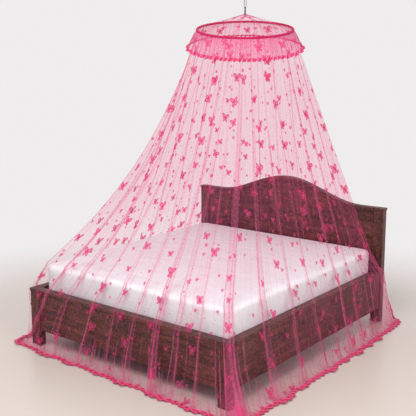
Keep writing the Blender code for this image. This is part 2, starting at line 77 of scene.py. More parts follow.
# weaves, pitches in metres
NET_PITCH = 0.0032
NET_TURN = 6.0             # metres of mesh drawn in a whole turn
LACE_PITCH = 0.0052
COTTON_PITCH = 0.0016
BINDING_RIBS = 150.0       # in a whole turn
THREADS = ((420.0, 1.3, 1.0), (1500.0, 2.6, 0.0))     # streaks a turn, streaks a metre down, detail

# mattress, in bed coordinates: its middle is at x = 0, y = 0
MAT_HALF_W = 0.900
MAT_FOOT_Y = -1.000
MAT_HEAD_Y = 1.000
MAT_CORNER_R = 0.070
MAT_EDGE_R = 0.034
MAT_HOLLOW = 0.0016
MAT_ARC = 8                # steps around a corner or an edge
MAT_RUN = 40               # steps along a side
MAT_SIDE = 6               # steps up a side
MAT_TOP = 15               # rings on the top

# the wooden nodes whose fibres run along each axis
GRAIN = {"x": ("post_cap", "foot_cap", "foot_panel", "mattress_base", "headboard"),
         "y": ("side_rail", "side_cap"), "z": ("foot_leg", "head_post")}

# hoop and hook
HOOP_Y = 0.405
HOOP_Z = 2.446
HOOP_R = 0.388
HOOP_TILT = math.radians(11.5)
HOOP_LOW_SIDE = (0.5803, -0.8144)
HOOP_BAR_R = 0.0060
BINDING_R = 0.0095
NECK_Z = 2.566
BARREL_R = 0.0065
BINDING_COLUMNS = 720
BINDING_SIDES = 12

# net over the bed: main strands, with azimuth 0 to the bed's right and 90 to its head
STRANDS = (
    # azimuth, swell
    (-168.0, 0.9), (-154.0, 1.2), (-141.0, 1.1), (-130.5, 0.8), (-122.6, 1.3), (-115.0, 0.8),
    (-108.5, 1.2), (-98.5, 1.2), (-91.0, 0.7), (-83.5, 1.1), (-76.0, 1.3), (-70.5, 0.9),
    (-64.5, 0.9), (-57.4, 1.7), (-48.5, 1.3), (-38.0, 0.8), (-27.0, 1.2), (-15.5, 0.9),
    (-4.5, 1.2), (7.5, 1.0), (18.0, 1.2), (68.0, 0.7), (90.0, 0.8), (111.0, 0.7),
    (162.0, 1.1), (176.0, 0.9),
)
FINE_LINES = 124           # single creases between the strands
FLOOR_LINES = 150          # short creases where the net spreads out on the floor
BUNCHED = (                # extra lines where the net is drawn together
    # azimuth, strength, first share of the way down
    (-60.6, 6.0, 0.58), (-59.6, 8.0, 0.62), (-58.6, 5.0, 0.66), (-56.5, 6.0, 0.60),
    (-55.6, 8.0, 0.64), (-54.2, 6.0, 0.55), (11.6, 4.0, -0.2), (14.0, 4.5, -0.2), (20.4, 5.0, -0.2),
    (22.2, 5.0, -0.2), (23.8, 6.0, 0.3), (25.3, 6.0, -0.2), (26.9, 7.0, 0.2), (27.7, 8.0, 0.5),
    (28.4, 7.0, -0.2), (29.2, 8.0, 0.4), (30.0, 8.0, -0.2), (30.8, 8.0, 0.5), (31.6, 8.0, 0.3),
    (32.4, 8.0, 0.5), (33.2, 8.0, -0.2), (34.1, 8.0, 0.4), (35.0, 6.0, 0.3), (147.6, 5.0, -0.2),
    (150.4, 6.0, 0.3), (154.2, 4.0, -0.2), (158.0, 5.0, -0.2), (-164.0, 3.0, -0.2),
)
HEAD_CORNER = 33.5
BLEND = 5.0
SAG = (                    # how much the way from the hoop to the mattress hangs through
    # azimuth, sag
    (-90.0, 0.36), (-57.0, 0.42), (-20.0, 0.16), (33.0, 0.03), (60.0, 0.08), (90.0, 0.1),
)
LEAN = (
    # azimuth, how many degrees its line has moved on at the hem
    (-158.0, 0.0), (-132.0, -4.5), (-112.0, -5.5), (-92.0, -4.0), (-72.0, -2.2), (-58.0, 0.0),
    (-30.0, 0.8), (10.0, 0.8), (24.0, 0.0),
)
LEVELS = (
    # name, half_w, foot_y, head_y, corner_r, z
    ("edge", 0.8895, -0.9895, 1.002, 0.028, 0.6505),
    ("side", 0.9075, -1.0075, 1.018, 0.032, 0.608),
    ("rail", 0.979, -1.099, 1.0215, 0.004, 0.459),
    ("under", 0.981, -1.101, 1.0215, 0.004, 0.425),
    ("land", 1.06, -1.142, 1.0215, 0.06, 0.011),
    ("hem", 1.116, -1.188, 1.0215, 0.11, 0.0036),
)
HEAD_LOW = {"edge": 0.652, "side": 0.6, "rail": 0.52, "under": 0.48, "land": 0.44, "hem": 0.414}
CORNER_LEVELS = ("rail", "under", "land", "hem")
CORNER = (                 # head corner: azimuth, and x, y, z at each of those levels
    (26.5, (0.9815, 0.98, 0.459), (0.985, 0.985, 0.425), (1.066, 1.05, 0.011), (1.108, 1.096, 0.0036)),
    (29.5, (0.9825, 1.003, 0.459), (0.987, 1.009, 0.425), (1.06, 1.116, 0.011), (1.084, 1.162, 0.0036)),
    (32.0, (0.9835, 1.016, 0.459), (0.99, 1.021, 0.427), (1.034, 1.13, 0.05), (1.038, 1.152, 0.026)),
    (34.0, (0.984, 1.023, 0.461), (0.988, 1.029, 0.442), (1.001, 1.08, 0.274), (1.003, 1.104, 0.238)),
    (36.0, (0.982, 1.026, 0.469), (0.985, 1.032, 0.464), (0.988, 1.042, 0.456), (0.99, 1.052, 0.447)),
    (37.8, (0.964, 1.024, 0.493), (0.969, 1.025, 0.489), (0.974, 1.0265, 0.485), (0.979, 1.028, 0.481)),
    (39.8, (0.918, 1.0235, 0.501), (0.926, 1.024, 0.494), (0.933, 1.0245, 0.487), (0.939, 1.025, 0.481)),
    (42.4, (0.876, 1.0225, 0.515), (0.88, 1.023, 0.5), (0.886, 1.0235, 0.486), (0.89, 1.024, 0.474)),
    (45.5, (0.835, 1.022, 0.519), (0.835, 1.022, 0.48), (0.835, 1.022, 0.44), (0.835, 1.022, 0.42)),
)
FLOOR_SHIFT = (0.018, -0.030)
FLOOR_SHIFT_FADE = 30.0    # degrees
# swings of the cloth's lines: size in degrees, waves a turn, drift on the way down, phase
SWINGS = ((1.0, 5, 3.1, 0.6), (0.8, 9, -4.3, 2.1), (0.7, 16, 6.0, 4.0), (0.4, 31, -5.0, 0.0))
LOOSE = ((1.2, 13, 1.0), (0.9, 24, 2.2))
# butterflies: (row height, start, first row's count, gain a row), (least, most width), seed, stray
SKIRT_PRINTS = (
    ((0.178, 0.69, 9.5, 1.5), (0.044, 0.092), 3.0, 0.42),
    ((0.135, 0.44, 16.0, 1.3), (0.02, 0.033), 37.0, 0.6),
)
CROWN_PRINTS = (((0.19, 0.05, 7.0, 4.0), (0.036, 0.05), 5.0, 0.36),)
FRILL_PRINTS = (
    ((0.17, 0.06, 13.0, 0.0), (0.058, 0.072), 8.0, 0.16),
    ((0.17, 0.56, 13.0, 0.0), (0.018, 0.028), 21.0, 0.3),
)
STRETCHES = (              # of the net from the hoop down, with the strands' swell in mm
    # start, end, rows, swell at the start, swell at the end
    ("hoop", "edge", 33, 0.0, 5.0),
    ("edge", "side", 3, 5.0, 6.0),
    ("side", "rail", 5, 6.0, 9.0),
    ("rail", "under", 2, 9.0, 11.0),
    ("under", "land", 16, 11.0, 25.0),
    ("land", "hem", 7, 25.0, 27.0),
)
# each level's share of the way from hoop to hem
MARKS = {"hoop": 0.0, "edge": 0.5, "side": 0.54, "rail": 0.62, "under": 0.65, "land": 0.9, "hem": 1.0}
# by share of the way down: swell in mm, metres of cloth to a metre of width, and layers of net
CONE_SWELL = ((0.0, 0.0), (0.07, 5.0), (0.17, 8.0), (0.42, 13.0), (0.68, 13.0), (0.9, 9.0), (1.0, 5.0))
EASE = ((0.0, 1.5), (0.25, 1.3), (0.6, 1.12), (1.0, 1.05))
PILE = ((0.0, 1.4), (0.03, 1.5), (0.12, 1.65), (0.38, 1.55), (0.5, 0.42), (0.8, 0.6), (0.9, 1.8),
        (1.0, 3.6))
TOP_LAYERS = ((0.0, 0.75), (0.1, 1.0), (1.0, 1.0))
BAND_LAYERS = ((0.0, 1.9), (0.44, 1.9), (0.6, 1.0))
LINE_LAYERS = ((0.0, 0.5), (0.4, 0.56), (0.56, 1.0))
SMOOTHED = 25              # columns

# crown
CROWN_COLUMNS = 480
CROWN_ROWS = 26
CROWN_PLEATS = 8
CROWN_DIP = 0.0065
CROWN_NECK = 0.04          # share of the rows on the swivel

# flounce
FRILL_DROP = 0.130
FRILL_UNEVEN = 0.021       # longer near the foot's right corner, shorter at the back
FRILL_LONG_AT = -52.0
FRILL_FLARE = 0.070
FRILL_WAVES = 24
FRILL_WAVE = 0.0085
FRILL_COLUMNS = 1152
FRILL_ROWS = 12
FRILL_LACE_ROWS = 9
FRILL_LACE_WIDE = 0.030
FRILL_RUCHES = 76

# hem
HEM_WIDE = 0.030
HEM_PITCH = 0.060          # one scallop
HEM_POINTS = 14            # to a scallop
HEM_ROWS = 8
HEM_LEAST_Z = 0.0012
CORD_R = 0.0042
CORD_SIDES = 6
CORD_LEAST_Z = 0.0052

# camera: the photograph's, 416 by 416 pixels
FRAME_PX = 416.0
FOCAL_PX = 770.0
SENSOR_MM = 36.0
PRINCIPAL_Y_PX = 192.0
CAMERA_AT = (3.6977, -4.7832, 2.2318)
CAMERA_PITCH = 10.0
CAMERA_TURN = 38.169

# stage: each light's place, target and power
KEY_LIGHT = ((1.2, -3.9, 5.0), (0.0, 0.0, 0.4), 188.0)
FILL_LIGHT = ((5.4, -1.8, 2.3), (0.9, 0.0, 0.6), 85.0)
LIGHT_SIZE = 2.6
FLOOR_HALF = 9
FLOOR_MIDDLE = (0.6, -0.8, 0.0)
FLOOR_FADE = (4.6, 2.3)    # clear, solid: metres from its middle


# ---- shape of the cloth
def rounded(xi, eta, half_w, y0, y1, radius):
    """Point on a rounded rectangle for a place (xi, eta) on the sharp unit square."""
    mid, half_l = (y0 + y1) / 2, (y1 - y0) / 2
    x, y = half_w * xi, mid + half_l * eta
    cx = max(-half_w + radius, min(half_w - radius, x))
    cy = max(y0 + radius, min(y1 - radius, y))
    dx, dy = x - cx, y - cy
    far = math.hypot(dx, dy)
    return (cx + radius * dx / far, cy + radius * dy / far)


def wrap(angle):
    return (angle + 180.0) % 360.0 - 180.0


def right_half(azimuth):
    """Azimuths mirrored on to the right half of the bed, as -90..90."""
    return np.where(np.abs(azimuth) <= 90.0, azimuth, np.sign(azimuth) * 180.0 - azimuth)


def ramp(at, start, run):
    """0 up to start, 1 from start + run on, straight between; run may be negative."""
    return np.clip((at - start) / run, 0.0, 1.0)


def interp(table, at):
    return np.interp(at, [row[0] for row in table], [row[1] for row in table])


def unit(rows):
    return rows / np.linalg.norm(rows, axis=1, keepdims=True)


def smoothed(values, width):
    """Running mean along a closed line."""
    half = width // 2
    around = np.concatenate([values[-half:], values, values[:half]])
    return np.convolve(around, np.ones(width) / width, "valid")


def direction(azimuth):
    a = math.radians(azimuth)
    return np.array([math.cos(a), math.sin(a), 0.0])


def hoop_frame():
    low = np.array([*HOOP_LOW_SIDE, 0.0])
    level = np.array([-low[1], low[0], 0.0])
    up = np.array([0.0, 0.0, 1.0])
    down_slope = low * math.cos(HOOP_TILT) - up * math.sin(HOOP_TILT)
    axis = low * math.sin(HOOP_TILT) + up * math.cos(HOOP_TILT)
    return level, down_slope, axis, low


HOOP_FRAME = hoop_frame()


def hoop_point(azimuth, radius, height):
    level, slope, axis, low = HOOP_FRAME
    d = direction(azimuth)
    centre = np.array([0.0, HOOP_Y, HOOP_Z])
    return centre + radius * (level * (d @ level) + slope * (d @ low)) + axis * height


def square_place(azimuth):
    """Where the ray from the hoop's centre meets the mattress outline, as (xi, eta) in -1..1."""
    d = direction(azimuth)
    reach = []
    if abs(d[0]) > 1e-9:
        reach.append(MAT_HALF_W / abs(d[0]))
    if abs(d[1]) > 1e-9:
        reach.append(((MAT_HEAD_Y if d[1] > 0 else MAT_FOOT_Y) - HOOP_Y) / d[1])
    t = min(reach)
    x, y = t * d[0], HOOP_Y + t * d[1]
    mid, half_l = (MAT_FOOT_Y + MAT_HEAD_Y) / 2, (MAT_HEAD_Y - MAT_FOOT_Y) / 2
    return x / MAT_HALF_W, (y - mid) / half_l


def level_point(azimuth, name):
    """Where the net passes one of the levels; head corners follow their own table."""
    _, half_w, y0, y1, radius, z = next(row for row in LEVELS if row[0] == name)
    xi, eta = square_place(azimuth)
    x, y = rounded(xi, eta, half_w, y0, y1, radius)
    right = right_half(wrap(azimuth))
    if right > HEAD_CORNER:
        z = HEAD_LOW[name]
    place = np.array([abs(x), y, z])
    first, last = CORNER[0][0], CORNER[-1][0]
    if name in CORNER_LEVELS and first - BLEND < right < last + BLEND:
        column = 1 + CORNER_LEVELS.index(name)
        at = [row[0] for row in CORNER]
        held = np.array([np.interp(right, at, [row[column][k] for row in CORNER]) for k in range(3)])
        near = min(1.0, (right - first) / BLEND + 1.0, (last - right) / BLEND + 1.0)
        place = place * (1.0 - near) + held * near
    side = 1.0 if math.cos(math.radians(azimuth)) >= 0 else -1.0
    if name in ("land", "hem") and right < first:
        fade = min(1.0, (first - right) / FLOOR_SHIFT_FADE)
        place[0] += side * FLOOR_SHIFT[0] * fade
        place[1] += side * FLOOR_SHIFT[1] * fade * max(0.0, -eta) * min(1.0, abs(xi))
    return np.array([side * place[0], place[1], place[2]])


def outward(azimuth):
    """Level direction square to the net's outline, rounded at the corners."""
    run = level_point(azimuth + 1.0, "side") - level_point(azimuth - 1.0, "side")
    out = np.array([run[1], -run[0], 0.0])
    out = out / np.linalg.norm(out) * 0.6 + direction(azimuth) * 0.4
    return out / np.linalg.norm(out)


def net_path(azimuth):
    """Points of the net from hoop to hem along one azimuth, and the swell of its strands there."""
    level = {row[0]: level_point(azimuth, row[0]) for row in LEVELS}
    level["hoop"] = hoop_point(azimuth, HOOP_R - 0.0008, -(HOOP_BAR_R + 0.0004))
    sag = interp(SAG, right_half(wrap(azimuth)))
    points, swell = [], []
    for start, end, rows, swell_start, swell_end in STRETCHES:
        a, b = level[start], level[end]
        for k in range(rows):
            f = k / rows
            g, raised = f, swell_start + (swell_end - swell_start) * f
            if start == "hoop":
                g, raised = (1.0 - sag) * f + sag * f ** 3, interp(CONE_SWELL, f)
            elif start == "under":
                g = f ** 1.18
            points.append([a[0] + (b[0] - a[0]) * g, a[1] + (b[1] - a[1]) * g, a[2] + (b[2] - a[2]) * f])
            swell.append(raised)
    points.append(level["hem"])
    swell.append(STRETCHES[-1][4])
    return np.array(points), np.array(swell) / 1000.0


def plan_lines():
    """The net's bands (azimuth, half width, layers, swell) and the lines along it (azimuth, half
    width, strength, first and last share of the way down)."""
    rng = np.random.default_rng(7)
    bands, lines = [], []
    for azimuth, swell in STRANDS:
        half = 0.62 * swell * rng.uniform(0.75, 1.25)
        kind = rng.random()
        if kind < 0.30:
            offsets, layers = (0.0,), 0.6
        elif kind < 0.70:
            offsets, layers = (-half, half), 0.8
        else:
            offsets, layers = (-half, half * rng.uniform(-0.3, 0.4), half * 1.15), 0.9
        if swell > 1.5:
            half, layers = 1.05, 0.9
            offsets = (-1.05, 0.3, 1.1)
        bands.append((azimuth, half, layers * rng.uniform(0.8, 1.3), swell))
        for offset in offsets:
            lines.append((azimuth + offset, rng.uniform(0.15, 0.20), rng.uniform(4.0, 9.5) * swell ** 0.5,
                          -0.2, 1.2))
    for azimuth, strength, first in BUNCHED:
        lines.append((azimuth, 0.15, strength, first, 1.2))

    def scatter(count, near, far, make, first=-180.0, last=180.0):
        added = 0
        while added < count:
            azimuth = wrap(rng.uniform(first, last))
            apart = np.abs(wrap(np.array([row[0] for row in lines]) - azimuth))
            if near < apart.min() < far:
                lines.append(make(azimuth))
                added += 1

    def fine_line(azimuth):
        kind = rng.random()
        first = -0.2 if kind < 0.65 else rng.uniform(0.1, 0.6)
        last = 1.2 if kind > 0.35 else rng.uniform(0.35, 0.8)
        return azimuth, rng.uniform(0.10, 0.14), rng.uniform(1.2, 4.6), first, last

    def floor_line(azimuth):
        return azimuth, rng.uniform(0.12, 0.17), rng.uniform(5.5, 11.0), rng.uniform(0.72, 0.90), 1.2

    scatter(FINE_LINES, 0.70, 99.0, fine_line)
    scatter(FLOOR_LINES, 0.42, 3.0, floor_line, -215.0, 35.0)
    return bands, lines


def net_columns(bands, lines):
    """Azimuths of the net's columns, close together across each line."""
    at = []
    for azimuth, half, _, _ in bands:
        at += [azimuth + half * k for k in (-2.4, -1.3, 0.0, 1.3, 2.4)]
    for azimuth, half, strength, _, _ in lines:
        steps = (-2.1, -0.9, 0.0, 0.9, 2.1) if strength > 5.6 and half > 0.149 else (-1.7, 0.0, 1.7)
        at += [azimuth + half * k for k in steps]
    for row in CORNER:
        at += [row[0], 180.0 - row[0]]
    at = sorted(wrap(a) for a in at)
    kept = [at[0]]
    for a in at[1:]:
        if a - kept[-1] > 0.075:
            kept.append(a)
    filled = []
    for i, a in enumerate(kept):
        filled.append(a)
        gap = (kept[i + 1] if i + 1 < len(kept) else kept[0] + 360.0) - a
        extra = int(gap / 1.25)
        filled += [a + gap * (k + 1) / (extra + 1) for k in range(extra)]
    return np.array(filled)


def wander(azimuth, share):
    """How far, in degrees, the cloth's lines stray from their azimuth at a share of the way down."""
    a = np.radians(azimuth)
    swing = sum(size * np.sin(waves * a + drift * share + phase) for size, waves, drift, phase in SWINGS)
    loose = sum(size * np.sin(waves * a + phase) for size, waves, phase in LOOSE)
    low = max(0.0, (share - 0.74) / 0.26) ** 1.6
    fall = ramp(share, 0.50, 0.42)
    return (0.30 * swing * min(1.0, share * 3.0) + 1.1 * loose * low
            + interp(LEAN, azimuth) * fall * fall * (3.0 - 2.0 * fall))


def row_shares():
    """Each row's share of the way from hoop to hem."""
    shares = []
    for start, end, rows, _, _ in STRETCHES:
        shares += [MARKS[start] + (MARKS[end] - MARKS[start]) * k / rows for k in range(rows)]
    return np.array(shares + [1.0])


def build_skirt_grid():
    """The net's columns, its points with the strands standing out, and how many layers lie there."""
    bands, lines = plan_lines()
    columns = net_columns(bands, lines)
    share = row_shares()
    rows = len(share)
    probe = np.arange(-180.0, 180.0, 0.5)
    paths, swells = zip(*(net_path(a) for a in probe))
    outs = [outward(a) for a in probe]
    paths, swells, outs = (np.array([*part, part[0]]) for part in (paths, swells, outs))
    ring = np.append(probe, 180.0)

    height = np.zeros((len(columns), rows))
    layers = np.ones((len(columns), rows))
    spread = np.zeros((len(columns), rows))
    for azimuth, half, thick, swell in bands:
        d = wrap(columns - azimuth)
        flat = 0.5 - 0.5 * np.tanh((np.abs(d) / half - 1.0) * 6.0)
        core = np.exp(-(d / 1.1) ** 2)
        height += (0.5 * flat + 0.5 * core)[:, None] * swell
        low = interp(BAND_LAYERS, share) + (8.0 if swell > 1.5 else 0.5) * ramp(share, 0.6, 0.3)
        layers += np.outer(thick * flat, low)
        fan = 1.5 * ramp(share, 0.70, 0.30) ** 1.7 - 0.30 * ramp(share, 0.12, -0.12)
        spread += np.outer(d * np.exp(-(d / (2.2 * half)) ** 2), fan)
    soft = interp(LINE_LAYERS, share)
    for azimuth, half, strength, first, last in lines:
        fade = ramp(share, first, 0.10) * ramp(share, last, -0.12)
        line = np.exp(-(wrap(columns - azimuth) / half) ** 2)
        height += np.outer(line, fade) * 0.018 * strength
        layers += np.outer(line * strength, fade * soft)

    points = np.zeros((len(columns), rows, 3))
    for r in range(rows):
        at = columns + wander(columns, share[r]) + spread[:, r]
        right = right_half(at)
        calm = ramp(np.abs(np.abs(right) - 36.0), 8.0, 6.0)
        at = wrap(columns + (at - columns) * np.where(right > 0, calm, 1.0))
        base = np.stack([np.interp(at, ring, paths[:, r, k]) for k in range(3)], axis=1)
        out = unit(np.stack([np.interp(at, ring, outs[:, k]) for k in range(3)], axis=1))
        lift = np.interp(at, ring, swells[:, r]) * height[:, r]
        free = 1.0 - ramp(right_half(at), 24.0, 6.0)
        points[:, r] = base + out * np.where(base[:, 2] < 0.70, lift * free, lift)[:, None]
        points[:, r, 2] += 0.25 * lift * (ramp(base[:, 2], 0.02, -0.01) * free)
    return columns, points, layers


def add_object(name, data):
    obj = bpy.data.objects.new(name, data)
    bpy.context.scene.collection.objects.link(obj)
    return obj


def shade_smooth(mesh):
    mesh.polygons.foreach_set("use_smooth", np.ones(len(mesh.polygons), bool))


def cloth_coordinates(points):
    """Metres down from the first row, and the step across from each column to the next."""
    down = np.linalg.norm(np.diff(points, axis=1), axis=2)
    down = np.concatenate([np.zeros((len(points), 1)), np.cumsum(down, axis=1)], axis=1)
    step = np.linalg.norm(np.roll(points, -1, axis=0) - points, axis=2)
    return down, step


def cloth_mesh(name, points, tau, down, metres, layers, material):
    """A single sheet of cloth from a grid that closes on itself along its first axis."""
    columns, rows = points.shape[:2]
    here = np.arange(columns * rows).reshape(columns, rows)
    beside = np.roll(here, -1, axis=0)
    faces = np.stack([here[:, :-1], here[:, 1:], beside[:, 1:], beside[:, :-1]], axis=-1).reshape(-1, 4)
    mesh = bpy.data.meshes.new(name)
    mesh.vertices.add(columns * rows)
    mesh.vertices.foreach_set("co", (points + SHIFT).astype(np.float32).ravel())
    mesh.loops.add(faces.size)
    mesh.loops.foreach_set("vertex_index", faces.astype(np.int32).ravel())
    mesh.polygons.add(len(faces))
    mesh.polygons.foreach_set("loop_start", np.arange(0, faces.size, 4, dtype=np.int32))
    mesh.update(calc_edges=True)
    shade_smooth(mesh)
    after = np.append(tau[1:], tau[0] + 1.0)
    u = np.repeat(np.stack([tau, tau, after, after], axis=1)[:, None], rows - 1, axis=1)
    uv = np.stack([u.reshape(-1, 4), down.reshape(-1)[faces]], axis=-1)
    mesh.uv_layers.new(name="UVMap").data.foreach_set("uv", uv.astype(np.float32).ravel())
    for label, values in (("metres", metres), ("layers", layers)):
        data = mesh.attributes.new(label, "FLOAT", "POINT").data
        data.foreach_set("value", np.broadcast_to(values, (columns, rows)).astype(np.float32).ravel())
    mesh.materials.append(material)
    mesh.validate()
    return add_object(name, mesh)


# ---- materials
class Num:
    """A number worked out by a material's nodes."""

    def __init__(self, tree, socket):
        self.tree, self.socket = tree, socket

    def op(self, kind, *others):
        node = self.tree.nodes.new("ShaderNodeMath")
        node.operation = kind
        for slot, value in enumerate((self,) + others):
            if isinstance(value, Num):
                self.tree.links.new(value.socket, node.inputs[slot])
            else:
                node.inputs[slot].default_value = value
        return Num(self.tree, node.outputs[0])

    def __add__(self, other):
        return self.op("ADD", other)

    def __sub__(self, other):
        return self.op("SUBTRACT", other)

    def __mul__(self, other):
        return self.op("MULTIPLY", other)

    def __truediv__(self, other):
        return self.op("DIVIDE", other)

    def step(self, low, high):
        """0 below low, 1 above high, smooth between; high may lie below low."""
        node = self.tree.nodes.new("ShaderNodeMapRange")
        node.interpolation_type = "SMOOTHSTEP"
        self.tree.links.new(self.socket, node.inputs["Value"])
        flip = float(high < low)
        for label, value in (("From Min", min(low, high)), ("From Max", max(low, high)),
                             ("To Min", flip), ("To Max", 1.0 - flip)):
            node.inputs[label].default_value = value
        return Num(self.tree, node.outputs[0])


class Material:
    """A node material with a Principled shader and the few nodes that the pieces share."""

    def __init__(self, name, rough=0.8, metal=0.0, colour=(0.8, 0.8, 0.8)):
        self.mat = bpy.data.materials.new(name)
        self.mat.use_nodes = True
        self.tree = self.mat.node_tree
        self.shader = self.tree.nodes["Principled BSDF"]
        self.put(Roughness=rough, Metallic=metal, Base_Color=(*colour, 1.0))

    def put(self, **values):
        for key, value in values.items():
            self.shader.inputs[key.replace("_", " ")].default_value = value

    def link(self, num, name):
        self.tree.links.new(num.socket, self.shader.inputs[name])

    def node(self, kind, **inputs):
        node = self.tree.nodes.new(kind)
        for key, value in inputs.items():
            socket = node.inputs[key.replace("_", " ")]
            if isinstance(value, Num):
                self.tree.links.new(value.socket, socket)
            else:
                socket.default_value = value
        return node

    def num(self, socket):
        return Num(self.tree, socket)

    def attribute(self, name):
        node = self.node("ShaderNodeAttribute")
        node.attribute_name = name
        return self.num(node.outputs["Fac"])

    def split(self, vector):
        node = self.node("ShaderNodeSeparateXYZ", Vector=vector)
        return [self.num(node.outputs[k]) for k in range(3)]

    def uv(self):
        node = self.node("ShaderNodeUVMap")
        node.uv_map = "UVMap"
        return self.split(self.num(node.outputs[0]))[:2]

    def place(self, scale=(1.0, 1.0, 1.0)):
        """Object coordinates, scaled."""
        coords = self.node("ShaderNodeTexCoord")
        mapping = self.node("ShaderNodeMapping", Vector=self.num(coords.outputs["Object"]), Scale=scale)
        return self.num(mapping.outputs[0])

    def vector(self, x, y, z=0.0):
        node = self.node("ShaderNodeCombineXYZ", X=x, Y=y, Z=z)
        return self.num(node.outputs[0])

    def noise(self, vector, scale, detail=2.0, rough=0.5):
        node = self.node("ShaderNodeTexNoise", Vector=vector, Scale=scale, Detail=detail, Roughness=rough)
        return self.num(node.outputs["Fac"])

    def blend(self, share, low, high):
        node = self.tree.nodes.new("ShaderNodeMix")
        node.data_type = "RGBA"
        self.tree.links.new(share.socket, node.inputs[0])
        for slot, value in ((6, low), (7, high)):
            if isinstance(value, Num):
                self.tree.links.new(value.socket, node.inputs[slot])
            else:
                node.inputs[slot].default_value = (*value, 1.0)
        return self.num(node.outputs[2])

    def bump(self, height, distance, strength=1.0):
        node = self.node("ShaderNodeBump", Height=height, Distance=distance, Strength=strength)
        self.link(self.num(node.outputs[0]), "Normal")


def ellipse(x, y, centre, turn, radii):
    """Distance from an ellipse's middle, 1 on its outline."""
    c, s = math.cos(math.radians(turn)), math.sin(math.radians(turn))
    dx, dy = x - centre[0], y - centre[1]
    along = (dx * c + dy * s) * (1.0 / radii[0])
    across = (dy * c - dx * s) * (1.0 / radii[1])
    return (along * along + across * across).op("SQRT")


WINGS = (
    # centre, turn, radii
    ((0.245, 0.205), 45.0, (0.300, 0.200)),
    ((0.165, -0.205), -62.0, (0.230, 0.150)),
)


def butterfly(x, y, mottle):
    """A butterfly one unit wide: 0 outside, up to 1 on its body and along the wings' rims."""
    side = x.op("ABSOLUTE")
    total = ellipse(side, y, (0.0, -0.02), 0.0, (0.028, 0.290)).step(1.20, 0.80)
    root = (side * side + y * y).op("SQRT").step(0.20, 0.04)
    for centre, turn, radii in WINGS:
        far = ellipse(side, y, centre, turn, radii)
        shade = far.step(0.50, 0.80) * 0.55 + root * 0.40 + mottle * 0.30 + 0.18
        total = total.op("MAXIMUM", far.step(1.04, 0.96) * shade.op("MINIMUM", 1.0))
    return total


def motifs(mat, tau, down, metres, rows, size, seed, stray):
    """Butterflies scattered in half-drop rows, each one whole within its own cell."""
    row_height, start, first, gain = rows
    at_row = down * (1.0 / row_height) + start
    row = at_row.op("FLOOR")
    count = (row * gain + first).op("FLOOR")
    along = tau * count + (row * 0.5).op("FRACT")
    cell = along.op("FLOOR").op("FLOORED_MODULO", count)
    noise = mat.node("ShaderNodeTexWhiteNoise", Vector=mat.vector(cell + seed, row + seed * 1.7))
    r1, r2, r3 = mat.split(mat.num(noise.outputs["Color"]))
    width = metres / count
    x = (along.op("FRACT") - 0.5) * width - (r1 - 0.5) * (width * stray)
    y = (at_row.op("FRACT") * -1.0 + 0.5) * row_height - (r2 - 0.5) * (row_height * stray)
    full = mat.num(noise.outputs["Value"]) * (size[1] - size[0]) + size[0]
    angle = (r3 - 0.5) * 0.60
    c, s = angle.op("COSINE"), angle.op("SINE")
    mottle = mat.noise(mat.vector(tau * metres, down), 95.0, 1.0).step(0.42, 0.60)
    return butterfly((x * c + y * s) / full, (y * c - x * s) / full, mottle)


def net_material(name, solid, prints, streak=1.0):
    """Sheer tulle. It tints what is seen through it and adds a little of its own colour, both more
    where layers lie together; prints lists the butterflies' rows, sizes and seeds."""
    mat = Material(name, rough=0.80, colour=NET_PINK)
    mat.put(Sheen_Weight=0.12, Sheen_Roughness=0.5, Sheen_Tint=NET_SHEEN, Specular_IOR_Level=0.2)
    tau, down = mat.uv()
    metres = mat.attribute("metres")
    layers = mat.attribute("layers")
    fine, finer = (mat.noise(mat.vector(tau * turn, down * metre), 1.0, detail)
                   for turn, metre, detail in THREADS)
    threads = fine.step(0.42, 0.78) * (0.70 * streak) + finer * (0.60 * streak) + (1.0 - 0.55 * streak)
    cell = math.tau / NET_PITCH
    across, along = tau * (NET_TURN * cell), down * cell
    mesh_a = (across + along).op("SINE").op("ABSOLUTE")
    mesh_b = (across - along).op("SINE").op("ABSOLUTE")
    speckle = mat.noise(mat.place(), 75.0, 2.0).step(0.34, 0.68) * 0.56 + 0.72
    density = layers * threads * speckle * ((mesh_a * mesh_b) * -1.1 + 1.45)
    spots = mat.node("ShaderNodeTexVoronoi", Vector=mat.place(), Scale=17.0)
    motif = mat.num(spots.outputs["Distance"]).step(0.085, 0.050) * 0.70
    for rows, size, seed, stray in prints:
        motif = motif.op("MAXIMUM", motifs(mat, tau, down, metres, rows, size, seed, stray))
    thinned = density.op("POWER", 0.8)
    red, green, blue = ((thinned * math.log(net) + motif * math.log(mark)).op("EXPONENT")
                        for net, mark in zip(NET_PASSES, MOTIF_PASSES))
    passes = mat.node("ShaderNodeCombineColor", Red=red, Green=green, Blue=blue)
    colour = mat.blend(density.step(1.5, 8.0), NET_PINK, NET_DEEP)
    mat.link(mat.blend(motif.step(0.05, 0.55), colour, MOTIF_PINK), "Base Color")
    open_share = ((density.op("POWER", 1.55) * math.log(1.0 - solid)).op("EXPONENT")
                  * (motif * -0.62 + 1.0))
    clear = mat.node("ShaderNodeBsdfTransparent", Color=mat.num(passes.outputs[0]))
    both = mat.node("ShaderNodeMixShader", Fac=open_share)
    mat.tree.links.new(mat.shader.outputs[0], both.inputs[1])
    mat.tree.links.new(clear.outputs[0], both.inputs[2])
    out = next(n for n in mat.tree.nodes if n.type == "OUTPUT_MATERIAL")
    mat.tree.links.new(both.outputs[0], out.inputs["Surface"])
    mat.bump(density, 0.0010, 0.30)
    return mat.mat


